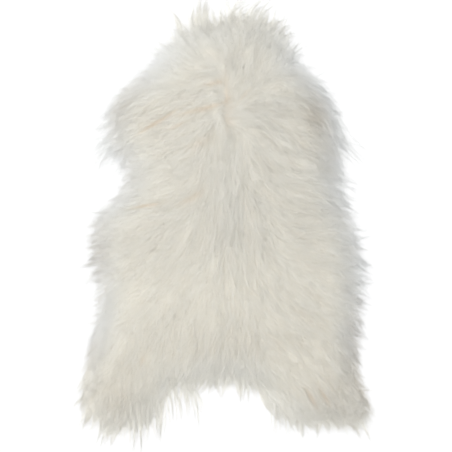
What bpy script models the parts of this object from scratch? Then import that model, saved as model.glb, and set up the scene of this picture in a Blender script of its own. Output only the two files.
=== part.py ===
"""A long-haired sheepskin rug, laid flat with its wool up.

The rug is a tanned hide, trimmed to its natural outline, and the fleece that grows on it.
The hide is a flat sheet. The fleece is a lumpy slab that overhangs the hide all round, and its
rim ends in tapered locks that rest level on the floor. The neck points along +Y and the hind
legs along -Y. The origin is at the middle of the rug's box, on the floor.
"""

from collections import namedtuple

import bpy
import numpy as np
from mathutils import Vector
from mathutils.geometry import delaunay_2d_cdt

# Driving dimensions, in metres.
HIDE_THICKNESS = 0.0025
GAP = 0.0003  # between the hide and the fleece
SIDE_GAP = 0.001  # between the hide's cut edge and the fleece around it
WOOL_OVERHANG = 0.030  # how far the fleece reaches past the hide
UNDERSIDE = 0.0012  # height of the overhanging wool's lower face
RIM_HEIGHT = 0.007
CROWN_HEIGHT = 0.043
SHOULDER = 0.085  # width of the band where the fleece rises from its rim to its crown

FACET = 0.0187  # spacing of the points on the fleece
FACET_SEED = 5
OUTLINE_STEP = 0.017
HIDE_STEP = 0.024

# The fleece's lumps: long soft ridges that follow the wool.
LUMP_SPACING = 0.044
LUMP_LENGTH = 0.042
LUMP_WIDTH = 0.013
LUMP_RISE = (0.002, 0.0055)
LUMP_CALM = 0.65  # how much lower they are on the rump and legs, as a share
CALM_FROM = 0.02  # where they start to grow lower, towards the legs
CALM_BLEND = 0.16  # and over what length
LUMP_SEED = 12

# The parting on the neck, where the wool falls to both sides.
PARTING_TOP = (0.006, 0.322)
PARTING_FOOT = (0.006, 0.215)
PARTING_DEPTH = 0.005
PARTING_WIDTH = 0.018

# The hollow in the right shoulder, where the wool is thin.
HOLLOW = (0.216, 0.222)
HOLLOW_HEADING = -82
HOLLOW_LENGTH = 0.055
HOLLOW_WIDTH = 0.026
HOLLOW_DEPTH = 0.010

# The locks at the rim: wisps with a place of their own, and plain locks between them.
WISP_WIDTH = 0.0042  # times the root of its number of strands
LOCK_SPACING = 0.0232
LOCK_CLEARANCE = 0.018  # from a plain lock's foot to the nearest wisp's
LOCK_ROOT = 0.036  # how far inside the fleece's edge a lock starts
LEAST_ROOT = 0.010  # from a lock's inner end to its foot
LOCK_WIDTH = (0.016, 0.025)
LOCK_REACH_SPREAD = (0.60, 1.30)  # shares of the reach given along the edge
LOCK_HEIGHT = 0.019  # where it leaves the slab
LOCK_TOP = 0.42  # width of a lock's upper face as a share of its base
LOCK_BEND = 0.15  # how far a plain lock bows aside, as a share of its reach
LOCK_LEAST_OUTWARD = 0.42  # the least part of a lock's direction that points off the rug
FLOOR_STEP = 0.0001  # neighbouring locks rest this much higher than one another
FLOOR_LEVELS = 4
LOCK_SEED = 31

# The fleece's edge, going round from the neck towards the rug's left: where it passes, and how
# far the locks reach past it there.
EdgePoint = namedtuple("EdgePoint", "x y reach")
FLEECE_EDGE = (
    EdgePoint(0.080, 0.470, 0.034),
    EdgePoint(0.025, 0.474, 0.030),
    EdgePoint(-0.015, 0.463, 0.028),
    EdgePoint(-0.055, 0.468, 0.038),
    EdgePoint(-0.090, 0.446, 0.030),
    EdgePoint(-0.122, 0.418, 0.026),
    EdgePoint(-0.150, 0.388, 0.020),
    EdgePoint(-0.190, 0.346, 0.012),
    EdgePoint(-0.238, 0.308, 0.010),
    EdgePoint(-0.266, 0.272, 0.016),
    EdgePoint(-0.272, 0.225, 0.034),
    EdgePoint(-0.268, 0.172, 0.038),
    EdgePoint(-0.240, 0.138, 0.024),
    EdgePoint(-0.232, 0.100, 0.010),
    EdgePoint(-0.250, 0.062, 0.012),
    EdgePoint(-0.288, 0.024, 0.016),
    EdgePoint(-0.306, -0.020, 0.018),
    EdgePoint(-0.309, -0.075, 0.018),
    EdgePoint(-0.298, -0.130, 0.020),
    EdgePoint(-0.294, -0.190, 0.016),
    EdgePoint(-0.305, -0.250, 0.014),
    EdgePoint(-0.320, -0.315, 0.016),
    EdgePoint(-0.330, -0.375, 0.018),
    EdgePoint(-0.331, -0.425, 0.020),
    EdgePoint(-0.306, -0.462, 0.028),
    EdgePoint(-0.262, -0.482, 0.030),
    EdgePoint(-0.210, -0.474, 0.032),
    EdgePoint(-0.166, -0.454, 0.030),
    EdgePoint(-0.145, -0.421, 0.026),
    EdgePoint(-0.124, -0.394, 0.030),
    EdgePoint(-0.070, -0.385, 0.026),
    EdgePoint(0.000, -0.378, 0.018),
    EdgePoint(0.060, -0.384, 0.020),
    EdgePoint(0.096, -0.412, 0.022),
    EdgePoint(0.128, -0.452, 0.022),
    EdgePoint(0.185, -0.474, 0.018),
    EdgePoint(0.250, -0.478, 0.016),
    EdgePoint(0.305, -0.474, 0.018),
    EdgePoint(0.334, -0.446, 0.014),
    EdgePoint(0.332, -0.405, 0.012),
    EdgePoint(0.312, -0.355, 0.012),
    EdgePoint(0.312, -0.285, 0.014),
    EdgePoint(0.318, -0.200, 0.016),
    EdgePoint(0.318, -0.125, 0.022),
    EdgePoint(0.312, -0.060, 0.024),
    EdgePoint(0.296, 0.000, 0.022),
    EdgePoint(0.275, 0.060, 0.026),
    EdgePoint(0.268, 0.120, 0.026),
    EdgePoint(0.272, 0.170, 0.034),
    EdgePoint(0.268, 0.215, 0.030),
    EdgePoint(0.252, 0.268, 0.016),
    EdgePoint(0.222, 0.318, 0.018),
    EdgePoint(0.178, 0.368, 0.020),
    EdgePoint(0.148, 0.420, 0.024),
    EdgePoint(0.120, 0.450, 0.028),
)

# Which way the wool is combed, in degrees from +X towards +Y. It turns smoothly between these.
CombGuide = namedtuple("CombGuide", "x y heading")
COMB_GUIDES = (
    CombGuide(0.036, 0.350, 82),
    CombGuide(-0.033, 0.453, 97),
    CombGuide(-0.068, 0.407, 127),
    CombGuide(-0.114, 0.368, 155),
    CombGuide(0.132, 0.396, 62),
    CombGuide(-0.171, 0.246, 209),
    CombGuide(-0.263, 0.189, 215),
    CombGuide(-0.060, 0.270, 205),
    CombGuide(0.070, 0.270, -8),
    CombGuide(-0.052, 0.330, 190),
    CombGuide(0.046, 0.306, 62),
    CombGuide(0.058, 0.242, 10),
    CombGuide(0.110, 0.212, -45),
    CombGuide(0.182, 0.340, -20),
    CombGuide(0.262, 0.262, -62),
    CombGuide(0.151, 0.253, -5),
    CombGuide(0.220, 0.299, -35),
    CombGuide(0.305, 0.154, -50),
    CombGuide(0.075, 0.166, -55),
    CombGuide(0.017, 0.166, -102),
    CombGuide(-0.167, 0.189, 199),
    CombGuide(-0.183, 0.051, 191),
    CombGuide(0.190, 0.108, -15),
    CombGuide(0.190, -0.035, -5),
    CombGuide(0.247, -0.122, -15),
    CombGuide(0.220, -0.207, -35),
    CombGuide(0.162, -0.248, -40),
    CombGuide(0.220, -0.322, -50),
    CombGuide(0.277, -0.409, -57),
    CombGuide(0.017, -0.265, -90),
    CombGuide(-0.098, -0.294, -105),
    CombGuide(-0.183, -0.322, -105),
    CombGuide(-0.240, -0.207, 222),
    CombGuide(-0.213, -0.092, 220),
    CombGuide(-0.270, -0.064, 187),
    CombGuide(-0.079, -0.092, 235),
    CombGuide(-0.298, -0.352, 235),
    CombGuide(-0.201, -0.409, -92),
    CombGuide(-0.155, -0.409, -105),
    CombGuide(-0.010, -0.064, -95),
    CombGuide(0.047, -0.064, -80),
    CombGuide(0.105, -0.122, -60),
)
COMB_BLEND = 0.030  # how softly one guide gives way to the next

# Wisps that stand out of the rim: where each leaves it, where its tip is, how far it bows
# aside as a share of its reach (positive to the left), and how many strands it gathers.
Wisp = namedtuple("Wisp", "x y tip_x tip_y bend strands")
WISPS = (
    Wisp(-0.102, 0.442, -0.123, 0.483, -0.15, 10),
    Wisp(-0.075, 0.455, -0.075, 0.490, 0.05, 9),
    Wisp(-0.059, 0.460, -0.059, 0.501, 0.05, 14),
    Wisp(-0.049, 0.460, -0.049, 0.508, 0.04, 16),
    Wisp(-0.043, 0.460, -0.040, 0.504, 0.05, 9),
    Wisp(-0.024, 0.465, -0.031, 0.490, 0.05, 5),
    Wisp(-0.008, 0.469, -0.001, 0.488, 0.00, 7),
    Wisp(0.010, 0.469, 0.026, 0.492, 0.08, 11),
    Wisp(0.020, 0.474, 0.049, 0.506, 0.10, 9),
    Wisp(0.038, 0.467, 0.063, 0.492, 0.10, 9),
    Wisp(0.056, 0.469, 0.086, 0.508, 0.12, 12),
    Wisp(0.066, 0.465, 0.075, 0.488, 0.05, 9),
    Wisp(0.079, 0.465, 0.102, 0.508, 0.10, 8),
    Wisp(0.089, 0.458, 0.100, 0.485, 0.08, 10),
    Wisp(0.105, 0.453, 0.128, 0.471, 0.05, 7),
    Wisp(0.116, 0.449, 0.139, 0.467, 0.10, 8),
    Wisp(0.128, 0.442, 0.153, 0.451, 0.10, 8),
    Wisp(0.139, 0.428, 0.160, 0.437, 0.10, 8),
    Wisp(0.160, 0.382, 0.176, 0.409, 0.20, 8),
    Wisp(0.169, 0.368, 0.181, 0.400, 0.20, 5),
    Wisp(-0.107, 0.419, -0.116, 0.451, -0.10, 10),
    Wisp(-0.121, 0.402, -0.139, 0.416, 0.00, 8),
    Wisp(-0.148, 0.380, -0.169, 0.402, -0.15, 6),
    Wisp(-0.263, 0.253, -0.293, 0.239, -0.05, 7),
    Wisp(-0.266, 0.225, -0.296, 0.205, -0.05, 7),
    Wisp(-0.263, 0.207, -0.302, 0.177, -0.08, 8),
    Wisp(-0.261, 0.189, -0.305, 0.159, -0.10, 8),
    Wisp(-0.250, 0.175, -0.293, 0.131, -0.14, 14),
    Wisp(-0.236, 0.161, -0.277, 0.136, -0.14, 7),
    Wisp(-0.302, -0.076, -0.325, -0.092, 0.00, 6),
    Wisp(-0.300, -0.097, -0.330, -0.106, 0.00, 8),
    Wisp(-0.298, -0.115, -0.323, -0.143, -0.05, 6),
    Wisp(-0.323, -0.375, -0.348, -0.400, -0.05, 6),
    Wisp(-0.321, -0.405, -0.348, -0.428, -0.05, 8),
    Wisp(-0.312, -0.432, -0.328, -0.469, -0.05, 10),
    Wisp(-0.302, -0.442, -0.323, -0.481, -0.05, 10),
    Wisp(-0.275, -0.455, -0.293, -0.494, -0.04, 12),
    Wisp(-0.263, -0.465, -0.282, -0.506, -0.04, 14),
    Wisp(-0.240, -0.465, -0.259, -0.504, -0.04, 12),
    Wisp(-0.231, -0.455, -0.240, -0.483, -0.04, 8),
    Wisp(-0.204, -0.423, -0.199, -0.511, 0.03, 24),
    Wisp(-0.178, -0.432, -0.181, -0.497, 0.02, 14),
    Wisp(-0.155, -0.437, -0.153, -0.490, 0.00, 12),
    Wisp(-0.146, -0.409, -0.146, -0.485, 0.03, 12),
    Wisp(-0.135, -0.386, -0.146, -0.465, -0.06, 6),
    Wisp(-0.130, -0.391, -0.116, -0.462, 0.05, 8),
    Wisp(-0.116, -0.386, -0.107, -0.451, 0.05, 8),
    Wisp(-0.100, -0.382, -0.093, -0.437, 0.05, 7),
    Wisp(-0.079, -0.377, -0.061, -0.455, 0.06, 15),
    Wisp(-0.022, -0.373, -0.020, -0.393, 0.00, 7),
    Wisp(0.031, -0.368, 0.036, -0.414, 0.03, 6),
    Wisp(0.047, -0.368, 0.049, -0.409, 0.03, 9),
    Wisp(0.066, -0.368, 0.070, -0.393, 0.00, 5),
    Wisp(0.095, -0.405, 0.121, -0.460, -0.12, 14),
    Wisp(0.116, -0.421, 0.116, -0.488, 0.04, 11),
    Wisp(0.135, -0.444, 0.135, -0.485, 0.02, 8),
    Wisp(0.151, -0.451, 0.153, -0.494, 0.02, 7),
    Wisp(0.167, -0.455, 0.171, -0.501, 0.02, 8),
    Wisp(0.181, -0.460, 0.183, -0.494, 0.02, 6),
    Wisp(0.298, -0.465, 0.309, -0.494, 0.04, 8),
    Wisp(0.307, -0.465, 0.325, -0.504, 0.04, 10),
    Wisp(0.319, -0.437, 0.335, -0.471, 0.05, 12),
    Wisp(0.323, -0.416, 0.342, -0.451, -0.05, 10),
    Wisp(0.307, -0.179, 0.330, -0.193, -0.05, 7),
    Wisp(0.305, -0.129, 0.335, -0.147, -0.05, 9),
    Wisp(0.305, -0.101, 0.332, -0.122, -0.05, 7),
    Wisp(0.305, -0.074, 0.337, -0.099, -0.08, 10),
    Wisp(0.296, -0.041, 0.319, -0.060, -0.05, 8),
    Wisp(0.282, 0.039, 0.302, 0.023, -0.10, 7),
    Wisp(0.275, 0.069, 0.302, 0.055, -0.10, 6),
    Wisp(0.273, 0.097, 0.305, 0.087, 0.05, 7),
    Wisp(0.263, 0.124, 0.286, 0.113, -0.05, 7),
    Wisp(0.261, 0.221, 0.314, 0.145, -0.10, 20),
    Wisp(0.245, 0.212, 0.289, 0.166, -0.08, 13),
    Wisp(0.243, 0.285, 0.268, 0.253, -0.10, 10),
    Wisp(0.231, 0.306, 0.263, 0.271, -0.10, 10),
)

WOOL_COLOUR = (0.69, 0.66, 0.58, 1.0)
WOOL_ROUGHNESS = 0.9
HIDE_COLOUR = (0.72, 0.62, 0.48, 1.0)
HIDE_ROUGHNESS = 0.75


def clear_scene():
    """Removes whatever the open file holds."""
    for thing in list(bpy.data.objects):
        bpy.data.objects.remove(thing, do_unlink=True)


def plain_material(name, colour, roughness):
    material = bpy.data.materials.new(name)
    material.use_nodes = True
    shader = material.node_tree.nodes["Principled BSDF"]
    shader.inputs["Base Color"].default_value = colour
    shader.inputs["Roughness"].default_value = roughness
    shader.inputs["Metallic"].default_value = 0.0
    return material


def spread_evenly(points, step):
    """The closed line through the points, as points about a step apart along it."""
    ring = np.vstack([points, points[:1]])
    along = np.concatenate([[0.0], np.cumsum(np.linalg.norm(np.diff(ring[:, :2], axis=0), axis=1))])
    count = int(round(along[-1] / step))
    wanted = np.linspace(0.0, along[-1], count, endpoint=False)
    return np.column_stack([np.interp(wanted, along, column) for column in ring.T])


def closed_curve(knots, step):
    """A smooth closed curve through the knots: between two of them a cubic whose slope at each
    is half the way from the knot before it to the knot after it."""
    before, after = np.roll(knots, 1, axis=0), np.roll(knots, -1, axis=0)
    slope = (after - before) / 2.0
    t = np.linspace(0.0, 1.0, 12, endpoint=False)[None, :, None]
    start, end = knots[:, None], after[:, None]
    leaving, arriving = slope[:, None], np.roll(slope, -1, axis=0)[:, None]
    curve = (
        (2 * t**3 - 3 * t**2 + 1) * start
        + (t**3 - 2 * t**2 + t) * leaving
        + (3 * t**2 - 2 * t**3) * end
        + (t**3 - t**2) * arriving
    )
    return spread_evenly(curve.reshape(-1, knots.shape[1]), step)


def outward_normals(outline):
    """Unit vectors off a closed outline that runs anticlockwise."""
    along = np.roll(outline, -1, axis=0) - np.roll(outline, 1, axis=0)
    along /= np.linalg.norm(along, axis=1, keepdims=True)
    return np.column_stack([along[:, 1], -along[:, 0]])


def distance_to(outline, points):
    """How far each point is from the nearest side of a closed outline."""
    start = outline[None]
    side = (np.roll(outline, -1, axis=0) - outline)[None]
    away = points[:, None] - start
    share = np.clip((away * side).sum(axis=2) / (side**2).sum(axis=2), 0.0, 1.0)
    return np.linalg.norm(away - share[..., None] * side, axis=2).min(axis=1)


def inside(outline, points):
    """Whether each point is inside the outline: a line from it crosses an odd number of sides."""
    x, y = points[:, :1], points[:, 1:]
    x0, y0 = outline.T
    x1, y1 = np.roll(outline, -1, axis=0).T
    spans = (y0 > y) != (y1 > y)
    crossing = x0 + (y - y0) * (x1 - x0) / np.where(y1 == y0, 1.0, y1 - y0)
    return (spans & (x < crossing)).sum(axis=1) % 2 == 1


def moved_in(outline, distance, step):
    """The outline moved inwards. What comes nearer than that to another stretch is left out."""
    moved = outline - distance * outward_normals(outline)
    clear = distance_to(outline, moved) > 0.97 * distance
    return spread_evenly(moved[clear], step)


def comb_direction(points):
    """Unit vectors along the combed wool. Each guide counts with the inverse fourth power of
    its distance, softened near the guide itself."""
    guides = np.array([(g.x, g.y) for g in COMB_GUIDES])
    heading = np.radians([g.heading for g in COMB_GUIDES])
    square = ((points[:, None] - guides[None]) ** 2).sum(axis=2) + COMB_BLEND**2
    weight = 1.0 / square**2
    flow = weight @ np.column_stack([np.cos(heading), np.sin(heading)])
    return flow / np.linalg.norm(flow, axis=1, keepdims=True)


def even_points(low, high, spacing, spread, randomness):
    """Rows of points over a rectangle, every other row set off by half a spacing, each point
    shaken by up to the given share of the spacing."""
    rows = np.arange(low[1], high[1], spacing * np.sqrt(0.75))
    columns = np.arange(low[0], high[0], spacing)
    x, y = np.meshgrid(columns, rows)
    x = x + (np.arange(len(rows)) % 2)[:, None] * spacing / 2.0
    points = np.column_stack([x.ravel(), y.ravel()])
    return points + randomness.uniform(-spread, spread, points.shape) * spacing


def lumps_at(points, edge):
    """The height of the lumps: the sum of soft ridges, each as long and as wide as named, and
    lower on the rump and legs."""
    randomness = np.random.default_rng(LUMP_SEED)
    low = np.floor(edge.min(axis=0) / LUMP_SPACING) * LUMP_SPACING
    centres = even_points(low, edge.max(axis=0), LUMP_SPACING, 0.35, randomness)
    calm = np.clip((CALM_FROM - centres[:, 1]) / CALM_BLEND, 0.0, 1.0)
    rise = randomness.uniform(*LUMP_RISE, len(centres)) * (1.0 - LUMP_CALM * calm)
    along = comb_direction(centres)
    away = points[:, None] - centres[None]
    lengthwise = (away * along[None]).sum(axis=2) / LUMP_LENGTH
    crosswise = (away[..., 0] * along[:, 1] - away[..., 1] * along[:, 0]) / LUMP_WIDTH
    return (rise * np.exp(-(lengthwise**2) - crosswise**2)).sum(axis=1)


def parting_at(points):
    """How deep the parting on the neck is: a soft trough along a straight line."""
    top, foot = np.array(PARTING_TOP), np.array(PARTING_FOOT)
    side = foot - top
    share = np.clip((points - top) @ side / (side @ side), 0.0, 1.0)
    away = np.linalg.norm(points - top - share[:, None] * side, axis=1)
    return PARTING_DEPTH * np.exp(-((away / PARTING_WIDTH) ** 2))


def hollow_at(points):
    """How deep the hollow in the shoulder is: a soft oval."""
    heading = np.radians(HOLLOW_HEADING)
    away = points - np.array(HOLLOW)
    lengthwise = away @ np.array([np.cos(heading), np.sin(heading)]) / HOLLOW_LENGTH
    crosswise = away @ np.array([-np.sin(heading), np.cos(heading)]) / HOLLOW_WIDTH
    return HOLLOW_DEPTH * np.exp(-(lengthwise**2) - crosswise**2)


def fleece_height(points, edge):
    """The top of the fleece: a soft shoulder up from the rim, with lumps, the parting and the
    hollow."""
    share = np.clip(distance_to(edge, points) / SHOULDER, 0.0, 1.0)
    rise = 1.0 - (1.0 - share) ** 2
    relief = lumps_at(points, edge) - parting_at(points) - hollow_at(points)
    return RIM_HEIGHT + (CROWN_HEIGHT - RIM_HEIGHT) * rise + relief * share


def triangles_within(ring, more, hole=None):
    """Points and anticlockwise triangles that fill a closed ring, through the other points
    given and around the hole. The ring's points come first, then the hole's."""
    rings = [ring] if hole is None else [ring, hole]
    corners = np.vstack(rings + [more])
    faces, start = [], 0
    for one in rings:
        faces.append(list(range(start, start + len(one))))
        start += len(one)
    placed, _, triangles, origins, _, sources = delaunay_2d_cdt(
        [Vector(corner) for corner in corners], [], faces, 1, 1e-7
    )
    number = {}
    for index, origin in enumerate(origins):
        number[index] = origin[0]
    kept = [face for face, source in zip(triangles, sources) if 1 not in source]
    return corners, np.array([[number[index] for index in face] for face in kept])


def wall_between(lower, upper, count):
    """Faces of a wall between two rings of as many points, given by the number of each ring's
    first point. It faces off an anticlockwise ring."""
    near = np.arange(count)
    far = (near + 1) % count
    return np.vstack(
        [
            np.column_stack([lower + near, lower + far, upper + far]),
            np.column_stack([lower + near, upper + far, upper + near]),
        ]
    )


def at_height(points, height):
    return np.column_stack([points, np.broadcast_to(height, len(points))])


def hide_surface(hide_edge):
    """A flat sheet: the outline filled below and above, and its cut edge between."""
    count = len(hide_edge)
    _, filling = triangles_within(hide_edge, np.empty((0, 2)))
    points = np.vstack([at_height(hide_edge, 0.0), at_height(hide_edge, HIDE_THICKNESS)])
    faces = np.vstack([filling[:, ::-1], filling + count, wall_between(0, count, count)])
    return points, faces


def slab_surface(edge, hide_edge):
    """The fleece without its rim locks: the lumpy top, the low wall round it, and the lower
    face, with the place for the hide let into it."""
    randomness = np.random.default_rng(FACET_SEED)
    centre = even_points(edge.min(axis=0), edge.max(axis=0), FACET, 0.16, randomness)
    centre = centre[inside(edge, centre)]
    centre = centre[distance_to(edge, centre) > 0.62 * FACET]
    plan, top = triangles_within(edge, centre)
    height = fleece_height(plan, edge)
    recess = hide_edge + SIDE_GAP * outward_normals(hide_edge)
    _, band = triangles_within(edge, np.empty((0, 2)), recess)
    _, ceiling = triangles_within(recess, np.empty((0, 2)))
    points = np.vstack(
        [
            np.column_stack([plan, height]),
            at_height(edge, UNDERSIDE),
            at_height(recess, UNDERSIDE),
            at_height(recess, HIDE_THICKNESS + GAP),
        ]
    )
    low = len(plan)
    recess_low = low + len(edge)
    recess_high = recess_low + len(recess)
    faces = np.vstack(
        [
            top,
            wall_between(low, 0, len(edge)),
            band[:, ::-1] + low,
            wall_between(recess_low, recess_high, len(recess))[:, ::-1],
            ceiling[:, ::-1] + recess_high,
        ]
    )
    return points, faces


def plain_locks(edge, reach, wisps):
    """Feet, throws, bends and widths of the locks between the wisps. They follow the combed
    wool, turned off the rug where it would run along the edge."""
    randomness = np.random.default_rng(LOCK_SEED)
    perimeter = np.linalg.norm(np.roll(edge, -1, axis=0) - edge, axis=1).sum()
    count = int(round(perimeter / LOCK_SPACING))
    place = (np.arange(count) + randomness.uniform(-0.22, 0.22, count)) % count
    at = (place * len(edge) / count).astype(int) % len(edge)
    along = comb_direction(edge[at])
    normal = outward_normals(edge)[at]
    short = np.clip(LOCK_LEAST_OUTWARD - (along * normal).sum(axis=1), 0.0, None)
    along = along + 1.3 * short[:, None] * normal
    along /= np.linalg.norm(along, axis=1, keepdims=True)
    throw = (reach[at] * randomness.uniform(*LOCK_REACH_SPREAD, count))[:, None] * along
    bend = randomness.uniform(-LOCK_BEND, LOCK_BEND, count)
    width = randomness.uniform(*LOCK_WIDTH, count)
    away = np.linalg.norm(edge[at][:, None] - wisps[None, :, :2], axis=2).min(axis=1)
    free = away > LOCK_CLEARANCE
    return edge[at][free], throw[free], bend[free], width[free]


def rim_locks(edge, reach):
    """The locks as one list of points and one of faces. A lock runs out from inside the slab,
    comes down to the floor at the fleece's edge, and tapers to a tip."""
    wisps = np.array([tuple(wisp) for wisp in WISPS])
    foot, throw, bend, width = plain_locks(edge, reach, wisps)
    foot = np.vstack([foot, wisps[:, :2]])
    throw = np.vstack([throw, wisps[:, 2:4] - wisps[:, :2]])
    bend = np.concatenate([bend, wisps[:, 4]])
    width = np.concatenate([width, WISP_WIDTH * np.sqrt(wisps[:, 5])])
    count = len(foot)
    beyond = np.linalg.norm(throw, axis=1)
    along = throw / beyond[:, None]
    leftwards = np.column_stack([-along[:, 1], along[:, 0]])
    root = LOCK_ROOT - distance_to(edge, foot) * inside(edge, foot)
    length = np.maximum(root, LEAST_ROOT) + beyond
    rest = FLOOR_STEP * (1 + np.arange(count) % FLOOR_LEVELS)

    sections = (  # share of the length, of the width, of the height; how far above the floor
        (0.00, 0.74, 0.82, 0.0060),
        (0.50, 1.00, 0.74, 0.0002),
        (0.80, 0.50, 0.32, 0.0),
    )
    corners = ((0.5, 0.0), (-0.5, 0.0), (-0.5 * LOCK_TOP, 1.0), (0.5 * LOCK_TOP, 1.0))
    rings = []
    for share, wide, high, lift in sections:
        out = share * length - (length - beyond)
        bowed = np.clip(out / beyond, 0.0, 1.0)
        aside = 4.0 * bowed * (1.0 - bowed) * bend * beyond
        middle = foot + out[:, None] * along + aside[:, None] * leftwards
        for sideways, upwards in corners:
            plan = middle + (sideways * wide * width)[:, None] * leftwards
            rings.append(np.column_stack([plan, rest + lift + upwards * high * LOCK_HEIGHT]))
    rings.append(np.column_stack([foot + throw, rest + 0.0004]))
    points = np.stack(rings, axis=1)

    last = 4 * (len(sections) - 1)
    lock_faces = [(0, 1, 2), (0, 2, 3)]
    for base in range(0, last, 4):
        for side in range(4):
            near, far = base + side, base + (side + 1) % 4
            lock_faces += [(near, near + 4, far), (far, near + 4, far + 4)]
    lock_faces += [(last + side, last + 4, last + (side + 1) % 4) for side in range(4)]
    faces = np.array(lock_faces)[None] + (np.arange(count) * points.shape[1])[:, None, None]
    return points.reshape(-1, 3), faces.reshape(-1, 3)


def solid_object(name, points, faces, material):
    mesh = bpy.data.meshes.new(name)
    mesh.from_pydata(points.tolist(), [], faces.tolist())
    mesh.validate()
    mesh.materials.append(material)
    thing = bpy.data.objects.new(name, mesh)
    bpy.context.scene.collection.objects.link(thing)
    return thing


def join_locks(fleece, locks):
    """Grows the locks into the slab. They overlap one another too."""
    locks.hide_render = True
    locks.display_type = "WIRE"
    join = fleece.modifiers.new("Rim locks", "BOOLEAN")
    join.operation = "UNION"
    join.object = locks
    join.use_self = True


def build():
    clear_scene()
    knots = np.array([(p.x, p.y, p.reach) for p in FLEECE_EDGE])
    traced = closed_curve(knots, OUTLINE_STEP)
    edge, reach = traced[:, :2], traced[:, 2]
    hide_edge = moved_in(edge, WOOL_OVERHANG, HIDE_STEP)

    hide_points, hide_faces = hide_surface(hide_edge)
    slab_points, slab_faces = slab_surface(edge, hide_edge)
    lock_points, lock_faces = rim_locks(edge, reach)

    everything = np.vstack([slab_points, lock_points])
    middle = (everything.min(axis=0) + everything.max(axis=0)) / 2.0
    middle[2] = 0.0

    wool = plain_material("Wool", WOOL_COLOUR, WOOL_ROUGHNESS)
    skin = plain_material("Skin", HIDE_COLOUR, HIDE_ROUGHNESS)
    solid_object("hide", hide_points - middle, hide_faces, skin)
    fleece = solid_object("fleece", slab_points - middle, slab_faces, wool)
    fleece.data.shade_smooth()
    fleece.data.set_sharp_from_angle(angle=np.radians(50.0))
    join_locks(fleece, solid_object("rim_locks", lock_points - middle, lock_faces, wool))


build()
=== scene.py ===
"""Long-haired sheepskin rug, laid flat with its wool up, seen from straight above.

The hide is a suede sheet. On it lies a closed undercoat with the fleece's form, and from the hide
grow nearly sixty thousand tapered strands, gathered into locks and combed as the real wool is.
Sizes are in metres, but for the tables' lengths, which are in millimetres. The tables and charts
are in the plan's own frame, which is the part's frame moved sideways by a few millimetres.
"""

import math
from collections import namedtuple

import bpy
import numpy as np
from bpy.props import FloatProperty, FloatVectorProperty, IntProperty, PointerProperty
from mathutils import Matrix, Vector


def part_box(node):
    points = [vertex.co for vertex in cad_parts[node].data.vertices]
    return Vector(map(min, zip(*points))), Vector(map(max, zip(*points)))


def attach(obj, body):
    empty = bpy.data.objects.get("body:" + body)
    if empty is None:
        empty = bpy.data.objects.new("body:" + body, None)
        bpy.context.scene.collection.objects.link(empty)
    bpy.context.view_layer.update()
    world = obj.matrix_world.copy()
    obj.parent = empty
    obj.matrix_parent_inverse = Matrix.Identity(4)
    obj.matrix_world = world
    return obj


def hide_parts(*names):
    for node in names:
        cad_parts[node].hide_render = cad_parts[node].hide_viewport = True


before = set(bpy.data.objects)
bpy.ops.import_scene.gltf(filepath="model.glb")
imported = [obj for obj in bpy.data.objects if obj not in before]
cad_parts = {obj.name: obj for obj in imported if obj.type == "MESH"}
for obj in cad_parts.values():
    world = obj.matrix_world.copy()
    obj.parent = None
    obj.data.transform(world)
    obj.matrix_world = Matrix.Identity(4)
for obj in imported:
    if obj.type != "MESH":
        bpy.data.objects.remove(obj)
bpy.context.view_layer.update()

bl_info = {
    "name": "Sheepskin Rug",
    "version": (1, 0, 0),
    "blender": (4, 5, 0),
    "location": "View3D > Sidebar > Sheepskin",
    "description": "Lays a long-haired sheepskin: its hide, undercoat and combed wool",
    "category": "Object",
}

# The plan, as in the solids.
HIDE_THICKNESS = 0.0025
WOOL_OVERHANG = 0.030
SIDE_GAP = 0.001
GAP = 0.0003
UNDERSIDE = 0.0012
RIM_HEIGHT = 0.007
CROWN_HEIGHT = 0.043
SHOULDER = 0.085
LUMP_SPACING = 0.044
LUMP_LENGTH = 0.042
LUMP_WIDTH = 0.013
LUMP_RISE = (0.002, 0.0055)
LUMP_CALM = 0.65
LUMP_SEED = 12
FLUFF_FROM = 0.02  # below here the wool turns shorter and less combed
FLUFF_BLEND = 0.16
PARTING_TOP = (0.006, 0.322)
PARTING_FOOT = (0.006, 0.215)
PARTING_DEPTH = 0.005
PARTING_WIDTH = 0.018
PLAN_CENTRE = (0.008, 0.005)  # every point of the outline is in sight from here


def table(columns, lengths, rows):
    """Rows as named tuples. The first so many columns are lengths, given in millimetres and
    kept in metres."""
    row = namedtuple("Row", columns)
    return tuple(row(*(v / 1000 for v in r[:lengths]), *r[lengths:]) for r in rows)


# Knots of the fleece's outline, and how far the wool reaches past it at each.
FLEECE_EDGE = table("x y reach", 3, (
    (80, 470, 34), (25, 474, 30), (-15, 463, 28), (-55, 468, 38), (-90, 446, 30),
    (-122, 418, 26), (-150, 388, 20), (-190, 346, 12), (-238, 308, 10), (-266, 272, 16),
    (-272, 225, 34), (-268, 172, 38), (-240, 138, 24), (-232, 100, 10), (-250, 62, 12),
    (-288, 24, 16), (-306, -20, 18), (-309, -75, 18), (-298, -130, 20), (-294, -190, 16),
    (-305, -250, 14), (-320, -315, 16), (-330, -375, 18), (-331, -425, 20), (-306, -462, 28),
    (-262, -482, 30), (-210, -474, 32), (-166, -454, 30), (-145, -421, 26), (-124, -394, 30),
    (-70, -385, 26), (0, -378, 18), (60, -384, 20), (96, -412, 22), (128, -452, 22),
    (185, -474, 18), (250, -478, 16), (305, -474, 18), (334, -446, 14), (332, -405, 12),
    (312, -355, 12), (312, -285, 14), (318, -200, 16), (318, -125, 22), (312, -60, 24),
    (296, 0, 22), (275, 60, 26), (268, 120, 26), (272, 170, 34), (268, 215, 30), (252, 268, 16),
    (222, 318, 18), (178, 368, 20), (148, 420, 24), (120, 450, 28),
))

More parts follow.
